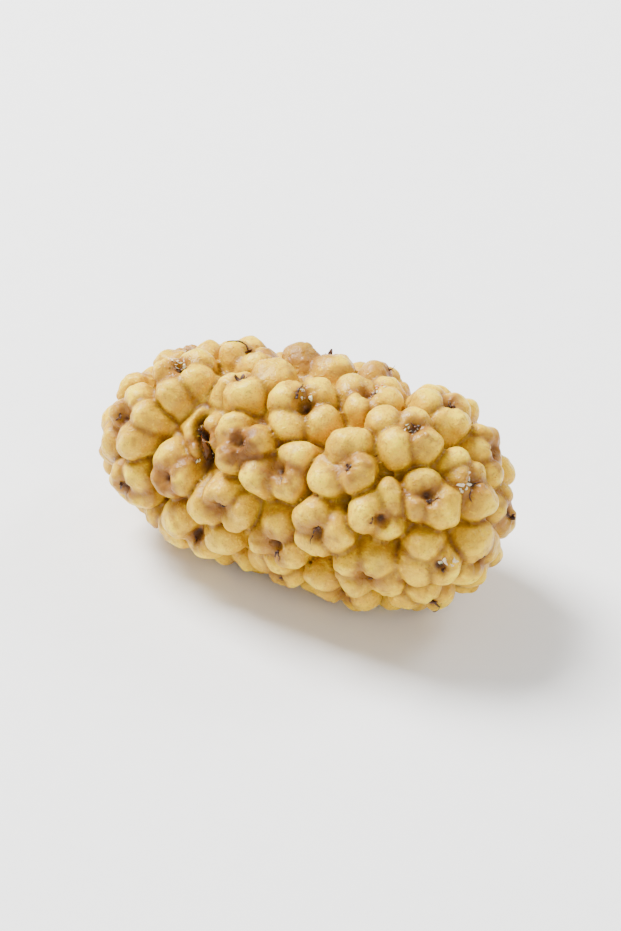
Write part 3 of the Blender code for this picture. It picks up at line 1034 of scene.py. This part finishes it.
# %% Style material
def tissue(name, width, detail, height, ground, layers, surface):
    """The material of a dry tissue. A layer's number is the fibres' noise or a stored fact."""
    made, tree, output = new_material(name)
    place = add_node(tree, "TexCoord", {}).outputs["Object"]
    streaks = {"Vector": place, "Scale": 1 / width, "Detail": detail}
    numbers = {"fibre": add_node(tree, "TexNoise", streaks).outputs["Fac"]}
    for number, *_span in layers:
        if number not in numbers:
            stored = add_node(tree, "Attribute", {}, attribute_name=number)
            numbers[number] = stored.outputs["Fac"]
    colour = layered(tree, linear(ground), [(numbers[row[0]], *row[1:]) for row in layers])
    raised = {"Strength": 0.6, "Distance": height, "Height": numbers["fibre"]}
    relief = add_node(tree, "Bump", raised).outputs["Normal"]
    inputs = {"Base Color": colour, "Metallic": 0.0, "IOR": 1.5, "Normal": relief, **surface}
    shader = add_node(tree, "BsdfPrincipled", inputs)
    tree.links.new(shader.outputs["BSDF"], output.inputs["Surface"])
    return made


style_material = tissue(
    "dried style tissue",
    width=0.12 * MM,
    detail=3.0,
    height=0.02 * MM,
    ground="#2A140A",
    layers=(("fibre", 0.40, 0.60, 1.0, "#5A3216"), ("fibre", 0.58, 0.75, 0.8, "#9A6A30")),
    surface={"Roughness": 0.45},
)

# %% Arms of the styles
ARM_ROOT, ARM_TIP = 0.055 * MM, 0.022 * MM
ARM_POINTS, ARM_SIDES = 10, 6
ARM_LENGTHS, ARM_LIFTS = (0.35, 1.0), (0.01, 0.06)  # in mm
ARM_TURN, ARMS_APART = 0.6, 2.2  # in radians: most at each point, and between two arms
NO_ARM_CHANCE = 0.50


def arm_line(foot, outward, bearing, length):
    """A wandering line from a pit towards the lobes round it."""
    ahead = Matrix.Rotation(bearing, 3, outward) @ outward.orthogonal().normalized()
    line = [foot - outward * 0.10 * MM]
    spot = foot + outward * 0.06 * MM
    for _ in range(ARM_POINTS - 1):
        ahead = Matrix.Rotation(rng.uniform(-ARM_TURN, ARM_TURN), 3, outward) @ ahead
        spot = spot + ahead * length / ARM_POINTS
        line.append(spot)
    return line


def some(span):
    """A random length from a span stated in millimetres."""
    return rng.uniform(*span) * MM


rng = random.Random(SEED + 2)
lines = []
for foot, outward in zip(PIT_FLOORS, PIT_WAYS):
    arms = 0 if rng.random() < NO_ARM_CHANCE else rng.choice((1, 1, 2))
    bearing = rng.uniform(0, math.tau)
    for arm in range(arms):
        turned = bearing + ARMS_APART * arm
        lines.append(arm_line(foot, Vector(outward), turned, some(ARM_LENGTHS)))
walked, ways = onto_skin([spot for line in lines for spot in line[1:]], ARM_WALK)
walked = in_box([spot + way * some(ARM_LIFTS) for spot, way in zip(walked, ways)], ARM_ROOT)

styles = bmesh.new()
for number, line in enumerate(lines):
    own = walked[number * (ARM_POINTS - 1) : (number + 1) * (ARM_POINTS - 1)]
    height, way = above_skin(line[0])
    spots = [line[0] - way * max(0.0, height + ARM_ROOT), *own]
    thick = rng.uniform(0.7, 1.3)
    radii = [
        thick * (ARM_ROOT + (ARM_TIP - ARM_ROOT) * (step / (ARM_POINTS - 1)) ** 0.7)
        for step in range(ARM_POINTS)
    ]
    add_tube(styles, spots, radii, ARM_SIDES)

# %% Scraps in the pits
SCRAP_HALF = np.array([0.16, 0.08, 0.030]) * MM
SCRAP_COUNTS = (2, 3, 3, 4)
SCRAP_SIZES, SCRAP_TILTS = (0.6, 1.25), (-55, -5)
SCRAPS_ASIDE, SCRAPS_UP = (0.02, 0.14), (0.01, 0.08)  # in mm from the pit's floor
SCRAP_CURL = 0.9

for number, (foot, outward) in enumerate(zip(PIT_FLOORS, PIT_WAYS)):
    outward = Vector(outward)
    stand = outward.to_track_quat("Z", "X").to_matrix()
    for scrap in range(rng.choice(SCRAP_COUNTS)):
        size = rng.uniform(*SCRAP_SIZES)
        turned = stand @ Matrix.Rotation(rng.uniform(0, math.tau), 3, "Z")
        axes = turned @ Matrix.Rotation(math.radians(rng.uniform(*SCRAP_TILTS)), 3, "Y")
        aside = turned @ Vector((some(SCRAPS_ASIDE), 0, 0))
        middle = foot + aside + outward * some(SCRAPS_UP)
        curl = rng.uniform(-SCRAP_CURL, SCRAP_CURL)
        seed = 10 * number + scrap
        add_scrap(styles, middle, outward, axes, SCRAP_HALF * size, curl, seed)
add_piece("dried_styles", mesh_of(styles, "styles"), style_material)

# %% [markdown]
# ## Papery scraps
#
# The tepals of the flowers dry to pale papery scraps. Most fall off, and a few are left round the
# sticky pits. Thin dry membrane is like tissue paper: nearly white, a little see-through, and with
# a faint sheen that shows as small glints. The scraps are also painted highlights: their near-white
# colour stands in for the glints round those pits.

# %% Papery material
papery = tissue(
    "papery tissue and painted glints",
    width=0.10 * MM,
    detail=3.0,
    height=0.015 * MM,
    # Near white: the tissue's own pale colour, and also painted highlights standing in for glints.
    ground="#F8DDB4",
    layers=(("fibre", 0.48, 0.72, 0.8, "#B88448"),),
    surface={"Roughness": 0.32, "Subsurface Weight": 0.5, "Subsurface Scale": 0.2 * MM},
)

# %% Papery scraps round the sticky pits
PAPER_HALF = np.array([0.14, 0.065, 0.018]) * MM
PAPER_COUNTS = (6, 7, 9)
PAPER_SIZES, PAPER_TILTS = (0.5, 1.15), (-45, 0)
PAPER_FAN, PAPER_REACH = 1.2, (0.15, 0.65)  # in radians to each side, and in mm from the pit
PAPER_UP = 0.03 * MM
PAPER_SEED = 700

starts = []
for pit in STICKY_PITS:
    outward = Vector(PIT_WAYS[pit])
    side = outward.orthogonal().normalized()
    towards = rng.uniform(0, math.tau)
    for _ in range(rng.choice(PAPER_COUNTS)):
        bearing = towards + rng.uniform(-PAPER_FAN, PAPER_FAN)
        around = Matrix.Rotation(bearing, 3, outward) @ side
        starts.append(PIT_FLOORS[pit] + around * some(PAPER_REACH))
walked, ways = onto_skin(starts, SHORT_WALK)
scraps = bmesh.new()
for seed, (spot, way) in enumerate(zip(walked, ways), PAPER_SEED):
    turned = way.to_track_quat("Z", "X").to_matrix()
    turned = turned @ Matrix.Rotation(rng.uniform(0, math.tau), 3, "Z")
    axes = turned @ Matrix.Rotation(math.radians(rng.uniform(*PAPER_TILTS)), 3, "Y")
    size = rng.uniform(*PAPER_SIZES)
    curl = rng.uniform(-1.0, 1.0)
    add_scrap(scraps, spot + way * PAPER_UP, way, axes, PAPER_HALF * size, curl, seed)
# These pale flakes are partly dry tissue and partly painted glints.
add_piece("papery_scraps_painted_glints", mesh_of(scraps, "scraps"), papery)

# %% [markdown]
# ## Stalk
#
# The fruit hung from a short green stalk, which dries to straw brown, wrinkles lengthwise and
# tears off in fibres. It is a tube with about nine ribs, drawn along the solid's own curve, with
# a ragged end. Fine fibres lie like a collar where it enters the flesh.

# %% Stalk route
STALK_ROUTE = (  # x, y, z and radius
    (-0.0078, 0.0000, 0.0046, 0.00048),
    (-0.0092, 0.0001, 0.0046, 0.00048),
    (-0.0101, 0.0005, 0.0043, 0.00047),
    (-0.0105, 0.0015, 0.0035, 0.00049),
    (-0.0105, 0.0028, 0.0025, 0.00058),
)
STALK_STEPS = 18


def smooth_route(route, steps):
    """Rows of numbers along a smooth curve through the rows of the route."""
    rows = np.array([route[0], *route, route[-1]])
    t = np.arange(steps)[:, None] / steps
    before, here = -t / 2 + t**2 - t**3 / 2, 1 - 2.5 * t**2 + 1.5 * t**3
    there, after = t / 2 + 2 * t**2 - 1.5 * t**3, -(t**2) / 2 + t**3 / 2
    weights = np.hstack([before, here, there, after])
    return np.vstack([weights @ rows[first : first + 4] for first in range(len(route) - 1)])


# %% Stalk material
stalk_material = tissue(
    "dried fibrous stalk",
    width=0.18 * MM,
    detail=4.0,
    height=0.02 * MM,
    ground="#7E5212",
    layers=(
        ("fibre", 0.40, 0.65, 0.8, "#A47620"),
        # Painted shade: the stalk is painted darker between its ribs.
        ("groove", 0.20, 0.90, 0.8, "#42260A"),
        ("fibre", 0.60, 0.75, 0.6, "#42260A"),
        ("torn", 0.30, 1.00, 0.8, "#C9A050"),
    ),
    surface={"Roughness": 0.62},
)

# %% Stalk tube
RIBS, RIB_DEPTH = 9, 0.12
TWIST, TWIST_RINGS = 0.9, 17  # the ribs wander by this much, over this many rings
RAGGED_RINGS, TORN_RINGS = 6, 5
STALK_SIDES = 54

route = smooth_route(STALK_ROUTE, STALK_STEPS)
line = [Vector(spot) for spot in route[:, :3] + ORIGIN_TO_MIDDLE]
radii = route[:, 3]
last = len(line) - 1


def groove(ring, angle):
    """From 0 on top of a rib to 1 between two ribs. The ribs wander along the stalk."""
    twist = TWIST * np.sin(ring / TWIST_RINGS)
    return 0.5 - 0.5 * np.cos(RIBS * (angle + twist))


def ribbed(ring, angle):
    """How the stalk's radius changes round it: ribs, shrunken sides and a ragged end."""
    ribs = 1 - RIB_DEPTH * groove(ring, angle)
    shrunk = 1 - 0.05 * (1 + math.sin(3 * angle + ring / 9))
    near_end = max(0.0, (ring - last + RAGGED_RINGS) / RAGGED_RINGS)
    return ribs * shrunk * (1 - 0.10 * near_end * (1 + math.sin(13 * angle)))


shape = bmesh.new()
add_tube(shape, line, radii, STALK_SIDES, roughen=ribbed)
stalk = add_piece("stalk_tube", mesh_of(shape, "stalk"), stalk_material)
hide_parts("stalk")
numbers = np.arange(len(stalk.data.vertices))
ring, step = numbers // STALK_SIDES, numbers % STALK_SIDES
angle = math.tau * step / STALK_SIDES
# The groove number paints shade between the ribs of the stalk.
store(stalk.data, "groove", groove(ring, angle))
store(stalk.data, "torn", np.clip((ring - last + TORN_RINGS) / TORN_RINGS, 0, 1))

# %% Fibres at the stalk's root and torn end
FIBRE_SIDES = 6
ROOT_FIBRES, END_FIBRES = 44, 30
ROOT_WIDTHS, END_WIDTHS = (0.028, 0.055), (0.04, 0.08)  # radii; these spans are all in mm
GRIP_ALONG, GRIP_SHARE = (0.15, 0.45), 0.75  # up the stalk, and this share of its radius
FOOT_OUT, FOOT_SAG, FOOT_ON = (0.10, 0.45), (0.02, 0.14), (0.02, 0.16)
END_LENGTHS, END_BEND = (0.15, 0.55), (-0.06, 0.06)
ROOT_ALONG = -9.05 * MM  # where the stalk comes out of the flesh
INSIDE = 0.05 * MM
END_REACH = 1.5 * MM  # fibres this near the torn end are pale


def add_fibre(shape, spots, width, shares):
    """A fibre through some spots, kept inside the box, with its radius at each as a share."""
    add_tube(shape, in_box(spots, INSIDE), [width * share for share in shares], FIBRE_SIDES)


shape = bmesh.new()
root = min(range(len(line)), key=lambda ring: abs(line[ring].x - ROOT_ALONG))
root_spot, root_way = line[root], (line[root + 1] - line[root]).normalized()
side = root_way.orthogonal().normalized()
grips, feet = [], []
for number in range(ROOT_FIBRES):
    angle = math.tau * number / ROOT_FIBRES + rng.uniform(-0.15, 0.15)
    around = Matrix.Rotation(angle, 3, root_way) @ side
    grips.append(root_spot + around * radii[root] * GRIP_SHARE + root_way * some(GRIP_ALONG))
    feet.append(root_spot + around * (radii[root] + some(FOOT_OUT)))
feet, ways = onto_skin(feet, SHORT_WALK)
for grip, foot, way in zip(grips, feet, ways):
    middle = (grip + foot) / 2 - way * some(FOOT_SAG)
    tip = foot + (foot - grip).normalized() * some(FOOT_ON) + way * 0.03 * MM
    add_fibre(shape, (grip, middle, foot, tip), some(ROOT_WIDTHS), (0.9, 1.0, 0.8, 0.3))

end_way = (line[last] - line[last - 3]).normalized()
side = end_way.orthogonal().normalized()
for number in range(END_FIBRES):
    around = Matrix.Rotation(rng.uniform(0, math.tau), 3, end_way) @ side
    spot = line[last] + around * radii[last] * math.sqrt(rng.random()) * 0.85 - end_way * 0.1 * MM
    tip_way = (end_way + around * rng.uniform(-0.1, 0.35)).normalized()
    length = some(END_LENGTHS)
    bend = Vector([some(END_BEND) for _ in range(3)])
    spots = [spot + tip_way * length * along + bend * along**2 for along in (0, 0.4, 0.75, 1.0)]
    add_fibre(shape, spots, some(END_WIDTHS), (1, 0.9, 0.6, 0.2))
fibres = add_piece("stalk_fibres", mesh_of(shape, "fibres"), stalk_material)
across = mesh_points(fibres.data)
at_end = np.linalg.norm(across - np.array(line[last]), axis=1) < END_REACH
# On the fibres the same number is only random tone, not shade.
store(fibres.data, "groove", 0.4 + 0.3 * noise(across, 0.15 * MM, 41))
store(fibres.data, "torn", np.where(at_end, 0.7, 0.3) + 0.3 * noise(across, 0.3 * MM, 42))

# %% [markdown]
# ## Sizes
#
# The boxes of the solid and of the dressed fruit are printed, in mm. The dressed fruit
# may not be larger than its solid.

# %% Sizes, and the end
new_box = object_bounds()
for box in (CAD_BOX, new_box):
    print("box in mm:", [tuple(round(c / MM, 2) for c in corner) for corner in box])
